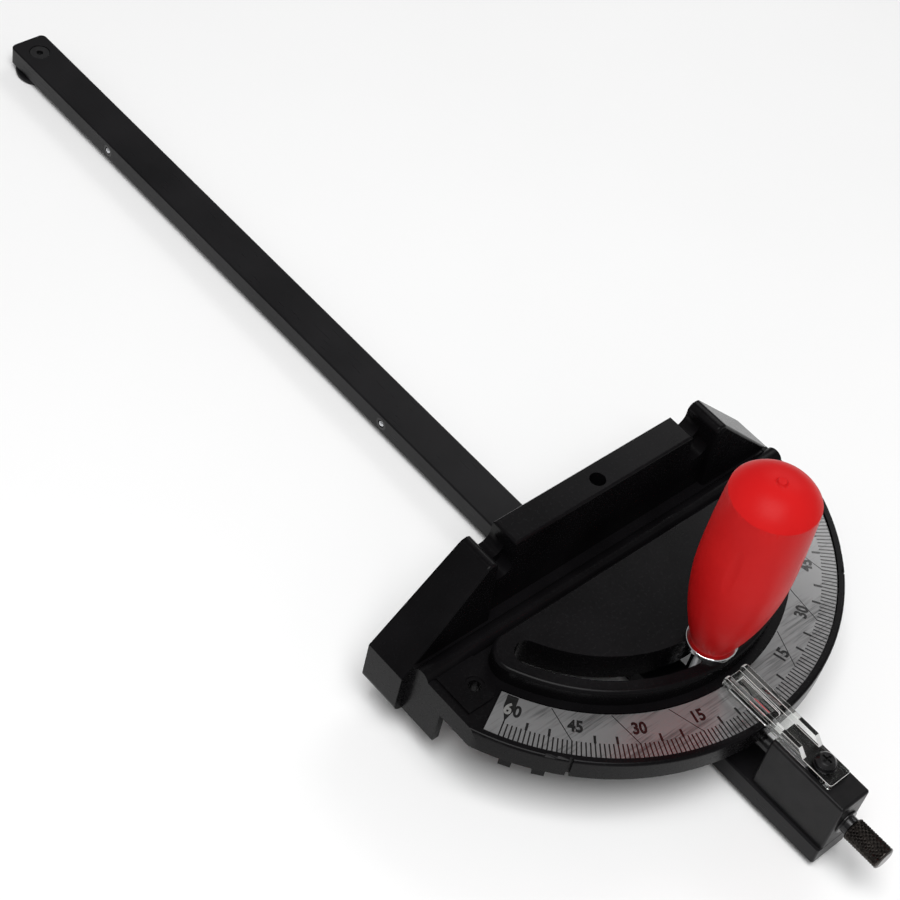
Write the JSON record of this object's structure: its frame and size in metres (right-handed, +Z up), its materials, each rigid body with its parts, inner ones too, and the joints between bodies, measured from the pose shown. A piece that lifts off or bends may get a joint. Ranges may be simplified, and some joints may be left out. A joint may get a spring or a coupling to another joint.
{
  "type": "table saw miter gauge",
  "caption": "Miter gauge with a slot bar, swinging half-round protractor head and fence, clear cursor, spring index pin and red clamp handle.",
  "frame": {"origin": "the head's pivot axis at the bar's top face, on the bar's centre line, level with the table it runs in", "axes": "+Y along the bar from the user towards its far end and out of the fence's working face, +Z up, +X to the user's right"},
  "size_m": [0.2076, 0.5616, 0.1444],
  "materials": {
    "bar_steel": "satin black",
    "cast_black": "semi-gloss black paint",
    "black_oxide": "black oxide",
    "bright_steel": "ground",
    "ball_steel": "polished",
    "spring_steel": "drawn wire",
    "brass": "turned",
    "scale_aluminium": "brushed",
    "clear_plastic": "polished clear plastic",
    "chrome": "plated",
    "red_plastic": "moulded, soft gloss"
  },
  "bodies": {
    "bar_assembly": {"miter_bar": "bar_steel", "t_slot_washer": "black_oxide", "t_washer_screw": "black_oxide", "front_plunger_sleeve": "bright_steel", "rear_plunger_sleeve": "bright_steel", "front_plunger_spring": "spring_steel", "rear_plunger_spring": "spring_steel", "pivot_shim": "brass", "pointer_block": "bar_steel", "front_block_screw": "black_oxide", "rear_block_screw": "black_oxide", "index_bushing": "black_oxide", "index_spring": "spring_steel", "cursor": "clear_plastic", "cursor_washer": "black_oxide", "cursor_screw": "black_oxide", "clamp_stud": "bright_steel"},
    "head": {"head_casting": "cast_black", "scale_plate": "scale_aluminium", "pivot_screw": "black_oxide"},
    "index_plunger": {"index_pin": "bright_steel", "index_clip": "spring_steel", "index_knob": "black_oxide"},
    "front_ball": {"front_plunger_ball": "ball_steel"},
    "rear_ball": {"rear_plunger_ball": "ball_steel"},
    "clamp_washer_body": {"clamp_washer": "chrome"},
    "clamp_handle": {"handle_grip": "red_plastic", "handle_insert": "bright_steel"}
  },
  "joints": [
    {"name": "head_pivot", "type": "hinge", "parent": "bar_assembly", "child": "head", "pos_m": [0, 0, 0], "axis": [0, 0, 1], "range_deg": [-60, 60]},
    {"name": "index_engage", "type": "slide", "parent": "bar_assembly", "child": "index_plunger", "axis": [0, 1, 0], "range_m": [0, 0.0023]},
    {"name": "front_ball_press", "type": "slide", "parent": "bar_assembly", "child": "front_ball", "axis": [1, 0, 0], "range_m": [0, 0.0004], "stiffness_N_per_m": 1000},
    {"name": "rear_ball_press", "type": "slide", "parent": "bar_assembly", "child": "rear_ball", "axis": [1, 0, 0], "range_m": [0, 0.0004], "stiffness_N_per_m": 1000},
    {"name": "clamp_lift", "type": "slide", "parent": "bar_assembly", "child": "clamp_washer_body", "axis": [0, 0, 1], "range_m": [0, 0.0015]},
    {"name": "handle_turn", "type": "hinge", "parent": "clamp_washer_body", "child": "clamp_handle", "pos_m": [0, -0.0725, 0], "axis": [0, 0, 1], "range_deg": [0, 360]}
  ],
  "couplings": [
    {"joint": "clamp_lift", "follows": "handle_turn", "m_per_rad": 0.0002387}
  ]
}
